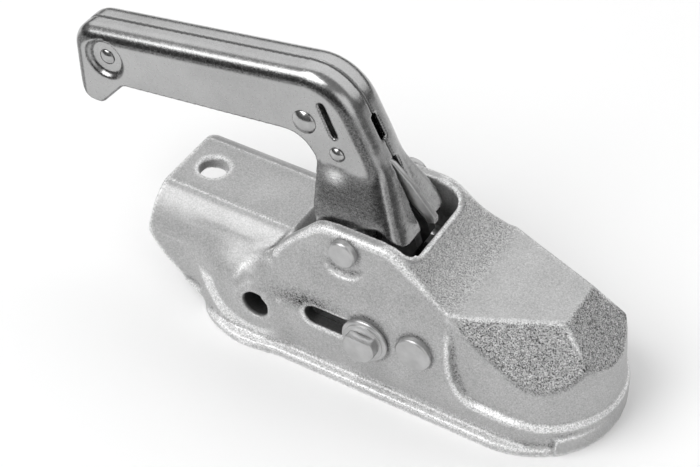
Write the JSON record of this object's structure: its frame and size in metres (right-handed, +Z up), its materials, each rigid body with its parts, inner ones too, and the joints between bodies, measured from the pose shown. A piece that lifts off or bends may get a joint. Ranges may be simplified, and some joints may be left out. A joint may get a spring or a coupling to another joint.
{
  "type": "trailer coupling head",
  "caption": "Cast trailer coupling head with ball socket, drawbar socket and a lift handle that pulls back the jaw under the tow ball.",
  "frame": {"origin": "centre of the coupled tow ball", "axes": "+X forward to the nose, +Y to the far side from the bolt head, +Z up"},
  "size_m": [0.2927, 0.1036, 0.148],
  "materials": {
    "cast_zinc": "rough casting, zinc plated, satin",
    "zinc_sheet": "pressed sheet, zinc plated, semi-gloss",
    "pin_steel": "zinc plated, satin",
    "forged_steel": "dull, greased",
    "spring_steel": "bare wire, satin"
  },
  "bodies": {
    "housing": {"housing": "cast_zinc", "pivot_pin": "pin_steel", "jaw_pin": "pin_steel"},
    "handle": {"handle_shell_near": "zinc_sheet", "handle_shell_far": "zinc_sheet", "lever_near": "forged_steel", "lever_far": "forged_steel", "grip_rivet": "pin_steel", "dome_rivet": "pin_steel", "catch_rivet": "pin_steel", "grip_spacer": "pin_steel", "dome_spacer": "pin_steel", "pivot_spacer_near": "pin_steel", "pivot_spacer_far": "pin_steel", "return_spring": "spring_steel", "catch_spring": "spring_steel"},
    "catch": {"safety_catch": "zinc_sheet"},
    "carriage": {"carriage": "forged_steel", "cross_bolt": "pin_steel", "washer_near": "pin_steel", "washer_far": "pin_steel", "bolt_nut": "pin_steel"},
    "jaw": {"ball_jaw": "forged_steel"}
  },
  "joints": [
    {"name": "handle_lift", "type": "hinge", "parent": "housing", "child": "handle", "pos_m": [-0.081, 0, 0.0458], "axis": [0, 1, 0], "range_deg": [0, 39], "stiffness_Nm_per_rad": 0.5, "springref_deg": -17.19, "deforming": ["return_spring"]},
    {"name": "carriage_slide", "type": "slide", "parent": "housing", "child": "carriage", "axis": [-1, 0, 0], "range_m": [0, 0.028]},
    {"name": "jaw_swing", "type": "hinge", "parent": "housing", "child": "jaw", "pos_m": [-0.0385, 0, 0.0107], "axis": [0, 1, 0], "range_deg": [0, 20]},
    {"name": "catch_squeeze", "type": "hinge", "parent": "handle", "child": "catch", "pos_m": [-0.0954, 0, 0.0837], "axis": [0, 1, 0], "range_deg": [0, 19.5], "deforming": ["catch_spring"]}
  ],
  "couplings": [
    {"joint": "carriage_slide", "follows": "handle_lift", "m_per_rad": 0.041},
    {"joint": "jaw_swing", "follows": "handle_lift", "ratio": 0.51},
    {"joint": "catch_squeeze", "follows": "handle_lift", "ratio": 0.5}
  ]
}
